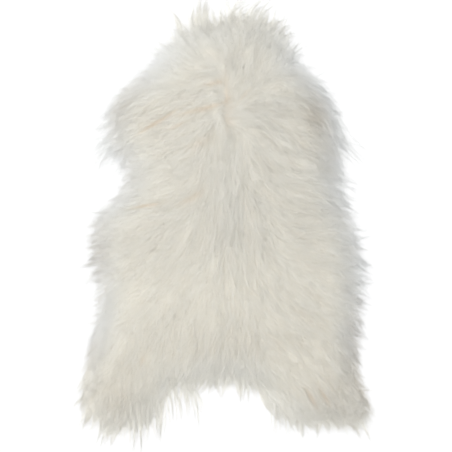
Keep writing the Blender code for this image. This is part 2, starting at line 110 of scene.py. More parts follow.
# Which way the wool is combed at each place, in degrees from +X.
COMB_GUIDES = table("x y heading", 2, (
    (36, 350, 82), (-33, 453, 97), (-68, 407, 127), (-114, 368, 155), (132, 396, 62),
    (-171, 246, 209), (-263, 189, 215), (-60, 270, 205), (70, 270, -8), (-52, 330, 190),
    (46, 306, 62), (58, 242, 10), (110, 212, -45), (182, 340, -20), (262, 262, -62),
    (151, 253, -5), (220, 299, -35), (305, 154, -50), (75, 166, -55), (17, 166, -102),
    (-167, 189, 199), (-183, 51, 191), (190, 108, -15), (190, -35, -5), (247, -122, -15),
    (220, -207, -35), (162, -248, -40), (220, -322, -50), (277, -409, -57), (17, -265, -90),
    (-98, -294, -105), (-183, -322, -105), (-240, -207, 222), (-213, -92, 220),
    (-270, -64, 187), (-79, -92, 235), (-298, -352, 235), (-201, -409, -92), (-155, -409, -105),
    (-10, -64, -95), (47, -64, -80), (105, -122, -60),
))
COMB_BLEND = 0.030  # how softly one guide gives way to the next
LEAST_OUTWARD = 0.42  # the least part of the comb that points off the rug at the rim
RIM_BAND = 0.05  # how far in from the rim the wool still turns and sinks towards it

# Wisps that stand out of the rim: where each leaves it, where its tip is, how far it bends
# aside as a share of its length (positive to the left), and how full it is. A wisp is made of
# finer ones, half as many as its fullness.
WISPS = table("x y tip_x tip_y bend fullness", 4, (
    (-102, 442, -123, 483, -0.15, 10), (-75, 455, -75, 490, 0.05, 9),
    (-59, 460, -59, 501, 0.05, 14), (-49, 460, -49, 508, 0.04, 16),
    (-43, 460, -40, 504, 0.05, 9), (-24, 465, -31, 490, 0.05, 5), (-8, 469, -1, 488, 0.0, 7),
    (10, 469, 26, 492, 0.08, 11), (20, 474, 49, 506, 0.1, 9), (38, 467, 63, 492, 0.1, 9),
    (56, 469, 86, 508, 0.12, 12), (66, 465, 75, 488, 0.05, 9), (79, 465, 102, 508, 0.1, 8),
    (89, 458, 100, 485, 0.08, 10), (105, 453, 128, 471, 0.05, 7), (116, 449, 139, 467, 0.1, 8),
    (128, 442, 153, 451, 0.1, 8), (139, 428, 160, 437, 0.1, 8), (160, 382, 176, 409, 0.2, 8),
    (169, 368, 181, 400, 0.2, 5), (-107, 419, -116, 451, -0.1, 10),
    (-121, 402, -139, 416, 0.0, 8), (-148, 380, -169, 402, -0.15, 6),
    (-263, 253, -293, 239, -0.05, 7), (-266, 225, -296, 205, -0.05, 7),
    (-263, 207, -302, 177, -0.08, 8), (-261, 189, -305, 159, -0.1, 8),
    (-250, 175, -293, 131, -0.14, 14), (-236, 161, -277, 136, -0.14, 7),
    (-302, -76, -325, -92, 0.0, 6), (-300, -97, -330, -106, 0.0, 8),
    (-298, -115, -323, -143, -0.05, 6), (-323, -375, -348, -400, -0.05, 6),
    (-321, -405, -348, -428, -0.05, 8), (-312, -432, -328, -469, -0.05, 10),
    (-302, -442, -323, -481, -0.05, 10), (-275, -455, -293, -494, -0.04, 12),
    (-263, -465, -282, -506, -0.04, 14), (-240, -465, -259, -504, -0.04, 12),
    (-231, -455, -240, -483, -0.04, 8), (-204, -423, -199, -511, 0.03, 24),
    (-178, -432, -181, -497, 0.02, 14), (-155, -437, -153, -490, 0.0, 12),
    (-146, -409, -146, -485, 0.03, 12), (-135, -386, -146, -465, -0.06, 6),
    (-130, -391, -116, -462, 0.05, 8), (-116, -386, -107, -451, 0.05, 8),
    (-100, -382, -93, -437, 0.05, 7), (-79, -377, -61, -455, 0.06, 15),
    (-22, -373, -20, -393, 0.0, 7), (31, -368, 36, -414, 0.03, 6),
    (47, -368, 49, -409, 0.03, 9), (66, -368, 70, -393, 0.0, 5),
    (95, -405, 121, -460, -0.12, 14), (116, -421, 116, -488, 0.04, 11),
    (135, -444, 135, -485, 0.02, 8), (151, -451, 153, -494, 0.02, 7),
    (167, -455, 171, -501, 0.02, 8), (181, -460, 183, -494, 0.02, 6),
    (298, -465, 309, -494, 0.04, 8), (307, -465, 325, -504, 0.04, 10),
    (319, -437, 335, -471, 0.05, 12), (323, -416, 342, -451, -0.05, 10),
    (307, -179, 330, -193, -0.05, 7), (305, -129, 335, -147, -0.05, 9),
    (305, -101, 332, -122, -0.05, 7), (305, -74, 337, -99, -0.08, 10),
    (296, -41, 319, -60, -0.05, 8), (282, 39, 302, 23, -0.1, 7), (275, 69, 302, 55, -0.1, 6),
    (273, 97, 305, 87, 0.05, 7), (263, 124, 286, 113, -0.05, 7), (261, 221, 314, 145, -0.1, 20),
    (245, 212, 289, 166, -0.08, 13), (243, 285, 268, 253, -0.1, 10),
    (231, 306, 263, 271, -0.1, 10),
))

SPOT = "x y length width heading strength"
# Soft long spots: the middle of each, its half length and half width, which way it runs, and
# how strong it is. The hollow in the right shoulder has its depth in metres for that. At the
# blushes the wool is stained. The shades are painted shade: they darken the wool's colour at
# the rims, the feet, the lower back and in the shoulder's hollow.
HOLLOW = table(SPOT, 4, ((216, 222, 55, 26, -82, 0.010),))
BLUSHES = table(SPOT, 4, (
    (-17, 320, 22, 3.4, 195, 1.2), (5, 264, 48, 3.2, 91, 1.0), (-36, 262, 32, 3, 197, 0.7),
    (-70, 256, 36, 3, 197, 0.7), (-155, 228, 45, 2.8, 212, 1.1), (-108, 220, 16, 3.6, 205, 0.6),
    (-55, 181, 26, 7, 195, 0.5), (-188, 36, 36, 3.6, 190, 0.8), (-70, 58, 28, 5, 205, 0.7),
    (44, 288, 12, 3.4, 50, 0.7), (200, -404, 24, 3.6, -60, 0.8), (230, -402, 18, 3.6, -60, 0.8),
    (-188, -316, 6, 4, -100, 0.9), (210, 242, 36, 18, -78, 0.3),
))
# Painted shade: each row darkens the wool's colour.
PAINTED_SHADES = table(SPOT, 4, (
    (-236, 272, 120, 34, 61, 0.4), (-242, 105, 60, 34, 90, 0.44),
    (-306, -60, 130, 36, 90, 0.66), (-330, -270, 110, 32, 87, 0.58), (0, 480, 120, 36, 0, 0.22),
    (212, 242, 42, 26, -78, 0.74), (205, 168, 16, 32, -95, 0.24), (236, 150, 70, 32, -80, 0.16),
    (186, 325, 50, 36, -55, 0.16), (290, 0, 120, 30, -86, 0.14),
    (318, -300, 110, 32, -88, 0.85), (270, -410, 80, 70, -90, 0.24),
    (-250, -410, 70, 60, -90, 0.32), (40, -280, 300, 60, 0, 0.14),
    (-215, 250, 70, 50, 205, 0.06),
))

# The combed locks leave the skin bare here, unless more of them grow.
THIN_PLACES = table(SPOT, 4, (
    (5, 400, 100, 44, 0, 1.0), (10, -340, 110, 34, 0, 1.0), (95, 262, 60, 30, 10, 1.0),
    (-2, 275, 80, 30, 90, 1.0), (232, 235, 50, 24, -78, 1.0), (230, -430, 100, 30, 0, 1.0),
    (10, 60, 115, 34, 90, 1.0),
))

# The undercoat is raised here, by a share of its depth under the combed wool.
PADS = table(SPOT, 4, ((100, 272, 50, 16, 5, 0.5),))


def colour_setting(name, description, default):
    """A setting that holds a colour."""
    return FloatVectorProperty(
        name=name, description=description, default=default,
        subtype="COLOR", size=3, min=0.0, max=1.0,
    )


def length_setting(name, description, default, least, most):
    """A setting that holds a length."""
    return FloatProperty(
        name=name, description=description, default=default, min=least, max=most,
        subtype="DISTANCE", unit="LENGTH",
    )


def share_setting(name, description, default):
    """A setting that holds a share, from 0 to 1."""
    return FloatProperty(
        name=name, description=description, default=default, min=0.0, max=1.0,
        subtype="FACTOR",
    )


class HideSettings(bpy.types.PropertyGroup):
    """The tanned skin."""

    colour: colour_setting("Suede colour", "Colour of the hide's flesh side", (0.70, 0.60, 0.47))
    ripple: length_setting("Edge ripple", "How far the trimmed edge wanders", 0.0007, 0.0, 0.003)


class UndercoatSettings(bpy.types.PropertyGroup):
    """The dense short wool under the strands."""

    colour: colour_setting(
        "Undercoat colour", "Colour of the dense wool near the skin", (0.97, 0.945, 0.885)
    )
    cover: length_setting(
        "Cover", "How far the undercoat lies below the fleece's top", 0.012, 0.001, 0.02
    )


class WoolSettings(bpy.types.PropertyGroup):
    """The long strands."""

    # Painted light: a cooler, less yellow tint for the wool at the rim, for the bluish light that
    # falls on the thin wool there.
    rim_light_tint: colour_setting("Cool white", "Wool at the rim", (0.976, 0.979, 0.975))
    cream: colour_setting("Cream", "Wool over the back", (0.988, 0.979, 0.946))
    # Painted shade: the colour that the wool is multiplied by where the painted shade is deepest.
    painted_shade: colour_setting(
        "Dull", "What is left of a colour where the wool is dullest", (0.900, 0.885, 0.865)
    )
    # Painted light: the paler colour that the wool past the rim is mixed towards, for the light
    # that the thin wisps get from the bright floor around them.
    tips: colour_setting("Tips", "Bleached wool past the rim", (0.995, 0.995, 0.993))
    blush: colour_setting(
        "Blush", "Wool stained by the skin at the parting", (0.970, 0.895, 0.800)
    )
    length: length_setting("Staple length", "Length of the combed wool", 0.095, 0.03, 0.2)
    wisp_spacing: length_setting(
        "Wisp spacing", "Distance between the wisps along the rim", 0.0080, 0.003, 0.05
    )
    strands_per_wisp: IntProperty(
        name="Strands in a wisp", description="How many strands make one wisp of the rim",
        default=14, min=1, max=30,
    )
    thickness: length_setting(
        "Strand width", "Width of a strand where it leaves the undercoat", 0.00065, 0.0002, 0.004
    )
    lock_spacing: length_setting(
        "Lock spacing", "Distance between neighbouring locks at the skin", 0.0080, 0.006, 0.03
    )
    strands_per_lock: IntProperty(
        name="Strands in a lock", description="How many strands make one lock",
        default=5, min=1, max=20,
    )
    translucency: share_setting(
        "Translucency", "Share of the light that passes through a strand", 0.70
    )
    gather: share_setting("Gather", "How far a lock's tips come together, from 0 to 1", 0.45)


class StageSettings(bpy.types.PropertyGroup):
    """The floor, the lights and the camera."""

    floor_colour: colour_setting("Floor colour", "Colour of the plain floor", (0.16, 0.16, 0.16))
    floor_glow: FloatProperty(
        name="Floor glow", description="Light that the floor gives off, so that it stays white",
        default=0.74, min=0.0, max=2.0,
    )
    ambient: FloatProperty(
        name="Ambient light", description="Strength of the even light from all round",
        default=1.57, min=0.0, max=5.0,
    )
    key_power: FloatProperty(
        name="Key light", description="Power of the large soft light",
        subtype="POWER", unit="POWER", default=52.0, min=0.0, max=500.0,
    )
    camera_height: length_setting(
        "Camera height", "Height of the camera over the floor", 3.0, 1.5, 10.0
    )
    softness: FloatProperty(
        name="Softness", description="How many pixels of the picture a point's light spreads over",
        default=2.2, min=0.5, max=5.0,
    )
    frame_width: length_setting(
        "Frame width", "Width of floor that the picture takes in", 1.0396, 0.3, 3.0
    )


def unit(vectors):
    """Vectors divided by their own lengths."""
    return vectors / np.maximum(np.linalg.norm(vectors, axis=-1, keepdims=True), 1e-9)


def turned_left(vectors):
    """Plan vectors turned a quarter to the left: (x, y) becomes (-y, x)."""
    return np.column_stack([-vectors[:, 1], vectors[:, 0]])


def limited(values):
    """The values, held between 0 and 1."""
    return np.clip(values, 0.0, 1.0)


# Plan curves.


def spread_evenly(points, step):
    """The closed line through the points, read at even distances along it."""
    ring = np.vstack([points, points[:1]])
    sides = np.linalg.norm(np.diff(ring[:, :2], axis=0), axis=1)
    along = np.concatenate([[0.0], np.cumsum(sides)])
    wanted = np.linspace(0.0, along[-1], int(round(along[-1] / step)), endpoint=False)
    return np.column_stack([np.interp(wanted, along, column) for column in ring.T])


def closed_curve(knots, step):
    """A smooth closed curve: between two knots a cubic whose slope at each is half the way from
    the knot before it to the knot after it."""
    before, after = np.roll(knots, 1, axis=0), np.roll(knots, -1, axis=0)
    slope = (after - before) / 2.0
    t = np.linspace(0.0, 1.0, 12, endpoint=False)[None, :, None]
    curve = (
        (2 * t**3 - 3 * t**2 + 1) * knots[:, None]
        + (t**3 - 2 * t**2 + t) * slope[:, None]
        + (3 * t**2 - 2 * t**3) * after[:, None]
        + (t**3 - t**2) * np.roll(slope, -1, axis=0)[:, None]
    )
    return spread_evenly(curve.reshape(-1, knots.shape[1]), step)


def outward_normals(outline):
    """Unit vectors off a closed outline that runs anticlockwise: its direction, turned right."""
    return -turned_left(unit(np.roll(outline, -1, axis=0) - np.roll(outline, 1, axis=0)))


def nearest_side(outline, points):
    """Distance from each point to the nearest side of the outline, and that side's number. The
    distance to a side is that to the point's foot on it, held between the side's ends."""
    side = (np.roll(outline, -1, axis=0) - outline)[None]
    away = points[:, None] - outline[None]
    share = limited((away * side).sum(axis=2) / (side**2).sum(axis=2))
    distance = np.linalg.norm(away - share[..., None] * side, axis=2)
    nearest = distance.argmin(axis=1)
    return distance[np.arange(len(points)), nearest], nearest


def inside(outline, points):
    """Whether a line to the right from each point crosses an odd number of sides."""
    x, y = points[:, :1], points[:, 1:]
    x0, y0 = outline.T
    x1, y1 = np.roll(outline, -1, axis=0).T
    spans = (y0 > y) != (y1 > y)
    crossing = x0 + (y - y0) * (x1 - x0) / np.where(y1 == y0, 1.0, y1 - y0)
    return (spans & (x < crossing)).sum(axis=1) % 2 == 1


def moved_in(outline, distance, step):
    """The outline moved inwards, without what comes nearer than that to another stretch."""
    moved = outline - distance * outward_normals(outline)
    clear = nearest_side(outline, moved)[0] > 0.97 * distance
    return spread_evenly(moved[clear], step)


EDGE_STEP = 0.005
TRACED = closed_curve(np.array(FLEECE_EDGE), EDGE_STEP)
EDGE = TRACED[:, :2]
HIDE_EDGE = moved_in(EDGE, WOOL_OVERHANG, EDGE_STEP)
UNDERCOAT_INSET = 0.016
UNDERCOAT_STEP = 0.007
UNDERCOAT_EDGE = moved_in(EDGE, UNDERCOAT_INSET, UNDERCOAT_STEP)


def plan_shift():
    """From the plan's frame to the part's: the solids were moved so that their box is centred,
    and the hide's box shows by how much."""
    low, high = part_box("hide")
    solid = np.array([(low[0] + high[0]) / 2.0, (low[1] + high[1]) / 2.0])
    return solid - (HIDE_EDGE.min(axis=0) + HIDE_EDGE.max(axis=0)) / 2.0


SHIFT = plan_shift()


# Charts: values on an even grid over the plan.


def even_points(low, high, spacing, spread, rng):
    """Rows of points over a rectangle, every other row set off by half a spacing, each point
    shaken by up to the given share of the spacing."""
    rows = np.arange(low[1], high[1], spacing * np.sqrt(0.75))
    columns = np.arange(low[0], high[0], spacing)
    x, y = np.meshgrid(columns, rows)
    x = x + (np.arange(len(rows)) % 2)[:, None] * spacing / 2.0
    points = np.column_stack([x.ravel(), y.ravel()])
    return points + rng.uniform(-spread, spread, points.shape) * spacing


def comb_flow(points):
    """Vectors along the combed wool: the weighted mean of the guides' unit vectors, each with
    the inverse fourth power of its distance, softened near the guide itself. They are short
    where the guides disagree, as at the crown of the parting."""
    guides = np.array([(g.x, g.y) for g in COMB_GUIDES])
    heading = np.radians([g.heading for g in COMB_GUIDES])
    square = ((points[:, None] - guides[None]) ** 2).sum(axis=2) + COMB_BLEND**2
    weight = 1.0 / square**2
    flow = weight @ np.column_stack([np.cos(heading), np.sin(heading)])
    return flow / weight.sum(axis=1, keepdims=True)


def ridges(points, centres, along, length, width, rise):
    """The sum of soft ridges: each a bell along its heading, and a narrower bell across it."""
    away = points[..., None, :] - centres
    lengthwise = (away * along).sum(axis=-1) / length
    crosswise = (away[..., 0] * along[:, 1] - away[..., 1] * along[:, 0]) / width
    return (rise * np.exp(-(lengthwise**2) - crosswise**2)).sum(axis=-1)


def spots_at(points, spots):
    """The sum of the spots at each point, each a bell along and across its heading."""
    spots = np.array(spots)
    heading = np.radians(spots[:, 4])
    along = np.column_stack([np.cos(heading), np.sin(heading)])
    return ridges(points, spots[:, :2], along, spots[:, 2], spots[:, 3], spots[:, 5])


def fluff_at(points):
    """How far the wool is short and uncombed: an even slope from 0 over the shoulders to 1 over
    the rump."""
    return limited((FLUFF_FROM - points[:, 1]) / FLUFF_BLEND)


def lumps_at(points):
    """Height of the lumps: soft ridges that run along the comb, on shaken rows of points, and
    lower where the wool is short."""
    rng = np.random.default_rng(LUMP_SEED)
    coarse = closed_curve(np.array(FLEECE_EDGE), 0.017)[:, :2]
    low = np.floor(coarse.min(axis=0) / LUMP_SPACING) * LUMP_SPACING
    centres = even_points(low, coarse.max(axis=0), LUMP_SPACING, 0.35, rng)
    rise = rng.uniform(*LUMP_RISE, len(centres)) * (1.0 - LUMP_CALM * fluff_at(centres))
    return ridges(points, centres, unit(comb_flow(centres)), LUMP_LENGTH, LUMP_WIDTH, rise)


def parting_at(points):
    """Depth of the parting: a bell of the distance from a straight line."""
    top, foot = np.array(PARTING_TOP), np.array(PARTING_FOOT)
    side = foot - top
    share = limited((points - top) @ side / (side @ side))
    away = np.linalg.norm(points - top - share[:, None] * side, axis=1)
    return PARTING_DEPTH * np.exp(-((away / PARTING_WIDTH) ** 2))


class Chart:
    """Values on an even grid over the plan, read between its points as a weighted mean of the
    four nearest."""

    SPACING = 0.004
    LOW = np.array([-0.44, -0.60])
    SHAPE = (301, 221)  # rows along Y, columns along X

    def __init__(self, values):
        self.values = values.reshape(self.SHAPE + (-1,))

    @classmethod
    def places(cls):
        """The grid's points, row by row."""
        y, x = np.mgrid[: cls.SHAPE[0], : cls.SHAPE[1]]
        return cls.LOW + cls.SPACING * np.column_stack([x.ravel(), y.ravel()])

    @classmethod
    def of(cls, function):
        """A chart of a function of plan points, worked out a stretch at a time."""
        return cls(np.concatenate([function(part) for part in np.array_split(cls.places(), 24)]))

    def at(self, points):
        """The values at points in any layout, with x and y last."""
        place = (points - self.LOW) / self.SPACING
        place = np.clip(place, 0.0, np.array(self.SHAPE[::-1]) - 1.001)
        cell = place.astype(int)
        right, up = np.moveaxis(place - cell, -1, 0)[..., None]
        column, row = np.moveaxis(cell, -1, 0)
        value = self.values
        near = value[row, column] * (1 - right) + value[row, column + 1] * right
        far = value[row + 1, column] * (1 - right) + value[row + 1, column + 1] * right
        read = near * (1 - up) + far * up
        return read[..., 0] if read.shape[-1] == 1 else read


def depth_in(points):
    """Distance to the fleece's edge, positive inside it."""
    distance = nearest_side(EDGE, points)[0]
    return np.where(inside(EDGE, points), distance, -distance)


def reach_near(points):
    """How far the wool reaches past the outline, at the side of it that is nearest."""
    return TRACED[nearest_side(EDGE, points)[1], 2]


def combed(points):
    """The combed direction, turned off the rug near the rim where it would run along it, and
    shorter than one where the wool parts."""
    raw = comb_flow(points)
    agreement = limited(1.5 * np.linalg.norm(raw, axis=1, keepdims=True))
    flow = unit(raw)
    normal = outward_normals(EDGE)[nearest_side(EDGE, points)[1]]
    short = np.clip(LEAST_OUTWARD - (flow * normal).sum(axis=1), 0.0, None)
    near_rim = limited(1.0 - DEPTH.at(points) / RIM_BAND)
    return agreement * unit(flow + (1.3 * short * near_rim)[:, None] * normal)


def fleece_height(points):
    """The top of the fleece: a parabola that rises from the rim and is level a shoulder's width
    in. The lumps, the parting and the hollow come in over the same width."""
    share = limited(DEPTH.at(points) / SHOULDER)
    rise = 1.0 - (1.0 - share) ** 2
    relief = lumps_at(points) - parting_at(points) - spots_at(points, HOLLOW)
    return RIM_HEIGHT + (CROWN_HEIGHT - RIM_HEIGHT) * rise + relief * share


DEPTH = Chart.of(depth_in)
REACH = Chart.of(reach_near)
FLOW = Chart.of(combed)
HEIGHT = Chart.of(fleece_height)


def bed_height(points, below):
    """The fleece's top less the given depth, which is smaller towards the rim."""
    share = limited(DEPTH.at(points) / RIM_BAND)
    return HEIGHT.at(points) - below * (0.4 + 0.6 * share)


def slow_wander(points, size, rng):
    """A smooth uneven value of about -1 to 1: twice the mean of eight sine waves over the plan,
    with wavelengths around the given size."""
    heading = rng.uniform(0.0, 2.0 * np.pi, 8)
    pace = 2.0 * np.pi / (size * rng.uniform(0.7, 1.5, 8))
    phase = rng.uniform(0.0, 2.0 * np.pi, 8)
    waves = points @ (np.stack([np.cos(heading), np.sin(heading)]) * pace) + phase
    return np.sin(waves).mean(axis=1) * 2.0


# Meshes.


def mesh_object(name, points, faces, uv=None):
    """A mesh of points in the plan's frame, of groups of faces with as many corners each, and
    of a UV for every corner in the same order."""
    mesh = bpy.data.meshes.new(name)
    corners = np.concatenate([group.ravel() for group in faces])
    sizes = np.concatenate([np.full(len(group), group.shape[1]) for group in faces])
    mesh.vertices.add(len(points))
    mesh.vertices.foreach_set("co", (points + (*SHIFT, 0.0)).astype(np.float32).ravel())
    mesh.loops.add(len(corners))
    mesh.polygons.add(len(sizes))
    starts = np.concatenate([[0], np.cumsum(sizes)[:-1]])
    mesh.polygons.foreach_set("loop_start", starts.astype(np.int32))
    mesh.loops.foreach_set("vertex_index", corners.astype(np.int32))
    if uv is not None:
        layer = mesh.uv_layers.new(name="OFBake")
        layer.data.foreach_set("uv", uv.astype(np.float32).ravel())
    mesh.update(calc_edges=True)
    mesh.validate()
    mesh.shade_smooth()
    thing = bpy.data.objects.new(name, mesh)
    bpy.context.scene.collection.objects.link(thing)
    return thing


def rings_surface(rings):
    """A closed surface through rings of as many points, from a point at the plan's centre
    inside the first ring to one inside the last. Faces point out where the first ring lies
    above the last and the rings run anticlockwise."""
    around = rings[0].shape[0]
    poles = [(*PLAN_CENTRE, ring[:, 2].mean()) for ring in (rings[0], rings[-1])]
    points = np.vstack(rings + poles)
    near = np.arange(around)
    far = (near + 1) % around
    rows = (np.arange(len(rings) - 1) * around)[:, None]
    quads = np.stack([rows + near, rows + around + near, rows + around + far, rows + far], axis=-1)
    base = (len(rings) - 1) * around
    top = np.column_stack([np.full(around, len(points) - 2), near, far])
    bottom = np.column_stack([np.full(around, len(points) - 1), base + far, base + near])
    return points, [quads.reshape(-1, 4), np.vstack([top, bottom])]


def ring_between(outline, share):
    """The outline drawn in to a share of its way from the plan's centre."""
    return np.array(PLAN_CENTRE) + share * (outline - np.array(PLAN_CENTRE))


def flat_ring(outline, height):
    """The outline with every point at the one height."""
    return np.column_stack([outline, np.broadcast_to(height, len(outline))])


# Materials.


def new_material(name, **fixed):
    """A node material whose Principled shader has the fixed values in its sockets. A socket is
    named with underscores for its spaces."""
    material = bpy.data.materials.new(name)
    material.use_nodes = True
    shader = material.node_tree.nodes["Principled BSDF"]
    for socket, value in fixed.items():
        shader.inputs[socket.replace("_", " ")].default_value = value
    return material, material.node_tree, shader


def ramp(tree, source, stops):
    """A colour ramp fed by the source socket, through the stops (place, colour)."""
    node = tree.nodes.new("ShaderNodeValToRGB")
    elements = node.color_ramp.elements
    while len(elements) < len(stops):
        elements.new(0.5)
    for element, (place, colour) in zip(elements, stops):
        element.position = place
        element.color = (*colour, 1.0)
    tree.links.new(source, node.inputs["Fac"])
    return node.outputs["Color"]


def mixed(tree, kind, share, first, second):
    """Two colours mixed, each a socket or a plain colour. The share is a socket or a number."""
    node = tree.nodes.new("ShaderNodeMix")
    node.data_type = "RGBA"
    node.blend_type = kind
    for place, value in ((0, share), (6, first), (7, second)):
        if isinstance(value, bpy.types.NodeSocket):
            tree.links.new(value, node.inputs[place])
        else:
            node.inputs[place].default_value = (*value, 1.0) if place else value
    return node.outputs[2]


def noise(tree, scale, detail=3.0):
    """Noise over the object's own coordinates, with the scale in spots to the metre."""
    node = tree.nodes.new("ShaderNodeTexNoise")
    node.inputs["Scale"].default_value = scale
    node.inputs["Detail"].default_value = detail
    place = tree.nodes.get("Place") or tree.nodes.new("ShaderNodeTexCoord")
    place.name = "Place"
    tree.links.new(place.outputs["Object"], node.inputs["Vector"])
    return node.outputs["Fac"]


def bumped(tree, shader, height, strength, distance):
    """Tilts the shader's normals by the slope of the height socket."""
    node = tree.nodes.new("ShaderNodeBump")
    node.inputs["Strength"].default_value = strength
    node.inputs["Distance"].default_value = distance
    tree.links.new(height, node.inputs["Height"])
    tree.links.new(node.outputs["Normal"], shader.inputs["Normal"])


def toned(colour, share):
    """The colour times the share, with no channel over 1."""
    return tuple(min(1.0, share * channel) for channel in colour)


CREAM_AT = 0.5  # U up to here goes from the rim's painted light tint to cream, and from here on to blush
PLAIN_AT = 0.6  # V up to here goes from painted shade to the plain tone, and from here on to painted light at the tips
TIP_LIGHT = 0.2  # share of the tips' painted light colour where V is highest
BLACK, WHITE = (0.0,) * 3, (1.0,) * 3


def wool_material(settings):
    """Wool coloured by its strand map: U is the tone, from the rim's painted light tint through
    cream to blush, and V is how light it is, from painted shade through the plain tone to the
    painted light of the tips past the rim. Part of the light passes through it."""
    material, tree, shader = new_material("Wool", Specular_IOR_Level=0.25)
    strand = tree.nodes.new("ShaderNodeUVMap")
    strand.uv_map = "OFBake"
    split = tree.nodes.new("ShaderNodeSeparateXYZ")
    tree.links.new(strand.outputs["UV"], split.inputs["Vector"])
    u, v, _ = split.outputs
    tones = [(0.0, settings.rim_light_tint), (CREAM_AT, settings.cream), (1.0, settings.blush)]
    # Painted shade darkens the colour where V is low, and painted light pales it where V is high.
    painted_shade = ramp(tree, v, [(0.0, WHITE), (PLAIN_AT, BLACK)])
    pale = ramp(tree, v, [(PLAIN_AT, BLACK), (1.0, (TIP_LIGHT,) * 3)])
    colour = mixed(tree, "MULTIPLY", painted_shade, ramp(tree, u, tones), settings.painted_shade)
    colour = mixed(tree, "MIX", pale, colour, settings.tips)
    tree.links.new(colour, shader.inputs["Base Color"])
    fine = noise(tree, 420.0, 2.0)
    rough = tree.nodes.new("ShaderNodeMapRange")
    rough.inputs["To Min"].default_value = 0.62
    rough.inputs["To Max"].default_value = 0.86
    tree.links.new(fine, rough.inputs["Value"])
    tree.links.new(rough.outputs["Result"], shader.inputs["Roughness"])
    bumped(tree, shader, fine, 0.25, 0.0004)
    through = tree.nodes.new("ShaderNodeBsdfTranslucent")
    tree.links.new(colour, through.inputs["Color"])
    both = tree.nodes.new("ShaderNodeMixShader")
    both.inputs["Fac"].default_value = settings.translucency
    tree.links.new(shader.outputs["BSDF"], both.inputs[1])
    tree.links.new(through.outputs["BSDF"], both.inputs[2])
    tree.links.new(both.outputs["Shader"], tree.nodes["Material Output"].inputs["Surface"])
    return material


def undercoat_material(settings):
    """Matted short wool: a warm cream, softly blotched."""
    material, tree, shader = new_material("Undercoat wool", Roughness=0.9, Specular_IOR_Level=0.2)
    stops = [(0.35, toned(settings.colour, 0.86)), (0.65, settings.colour)]
    tree.links.new(ramp(tree, noise(tree, 60.0, 4.0), stops), shader.inputs["Base Color"])
    bumped(tree, shader, noise(tree, 500.0, 4.0), 0.6, 0.001)
    return material


def suede_material(settings):
    """Suede: a pale skin with a soft mottle and a fine nap."""
    material, tree, shader = new_material(
        "Suede hide", Roughness=0.88, Specular_IOR_Level=0.2, Sheen_Weight=0.25
    )
    stops = [(0.3, toned(settings.colour, 0.84)), (0.7, toned(settings.colour, 1.12))]
    mottle = ramp(tree, noise(tree, 9.0, 6.0), stops)
    grain = ramp(tree, noise(tree, 220.0, 5.0), [(0.3, (0.90, 0.89, 0.87)), (0.7, WHITE)])
    tree.links.new(mixed(tree, "MULTIPLY", 1.0, mottle, grain), shader.inputs["Base Color"])
    bumped(tree, shader, noise(tree, 900.0, 5.0), 0.5, 0.0004)
    return material


def floor_material(settings):
    """A plain grey that gives off light of its own, and so looks white."""
    material, tree, shader = new_material(
        "Floor", Roughness=0.9, Specular_IOR_Level=0.1,
        Emission_Color=(*WHITE, 1.0), Emission_Strength=settings.floor_glow,
    )
    stops = [(0.4, toned(settings.floor_colour, 0.995)), (0.6, settings.floor_colour)]
    tree.links.new(ramp(tree, noise(tree, 3.0), stops), shader.inputs["Base Color"])
    return material


# The wool.

TRACE_STEP = 0.005
TRACE_STEPS = 24  # from a lock's seed each way
LOCK_STATIONS = 17  # points along a lock's middle line
STRAND_BED = 0.006  # how far below the fleece's top the strands leave the wool under them
STRAND_SHARES = np.array([0.0, 0.36, 0.70, 1.0])  # where a strand has its points, root to tip
STRAND_TAPER = np.array([0.85, 1.0, 0.80, 0.0])
SIDES = 3
SLIVER = 0.004  # a side's width in the strand map, so that every face has some area there
CAP_SLIVER = 0.01  # height of a root cap's face in the strand map
WAVE_LENGTH = 0.065  # of a lock's sideways waves
SEED_INSET = 0.004  # from a combed lock's seed to the rim, at least
ROOT_INSET = 0.004  # from a lock's root to the hide's edge, at least
LEAST_ROOT = 0.03  # from a rim wisp's root to its seed, at least
WISP_BREADTH = 0.0017  # how far the finer wisps lie beside one another where the fullness is 1
BEHIND, AHEAD = 0.42, 0.58  # the shares of a combed lock on the two sides of its seed
CALM_BAND = 0.06  # how far in from the rim the wool is finer and less fluffy
SPINE_BAND = 0.10  # how far from the middle line the locks' headings vary more
LANDING = 0.025  # how far past the rim a strand has come down to the floor
FLOOR_REST = 0.0016  # height of the strands that have
ROOT_DIP = 0.0015  # how much lower a strand's root lies than its tip, besides its lift
RIM_LIGHT_BAND = 0.07  # how far in from the rim the painted light tint reaches
TIP_LIGHT_BAND = 0.020  # how far past the rim the painted light on the tips is strongest


def traced(seeds, pace, turn):
    """Lines through the seeds along the combed direction, each turned by its own angle, a step
    at a time. Given as (line, step, xy); turn is (line, step), and a negative pace goes back."""
    line = [seeds]
    for angle in turn.T:
        x, y = FLOW.at(line[-1]).T
        cos, sin = np.cos(angle), np.sin(angle)
        turned = np.column_stack([cos * x - sin * y, sin * x + cos * y])
        line.append(line[-1] + pace * turned)
    return np.stack(line, axis=1)


def way_back(seeds, turn):
    """Lines from the seeds back along the combed direction, and how far each has to go to lie
    well over the hide."""
    back = traced(seeds, -TRACE_STEP, np.broadcast_to(turn[:, None], (len(seeds), TRACE_STEPS)))
    deep = DEPTH.at(back) > WOOL_OVERHANG + ROOT_INSET
    return back, np.where(deep.any(axis=1), deep.argmax(axis=1), TRACE_STEPS) * TRACE_STEP


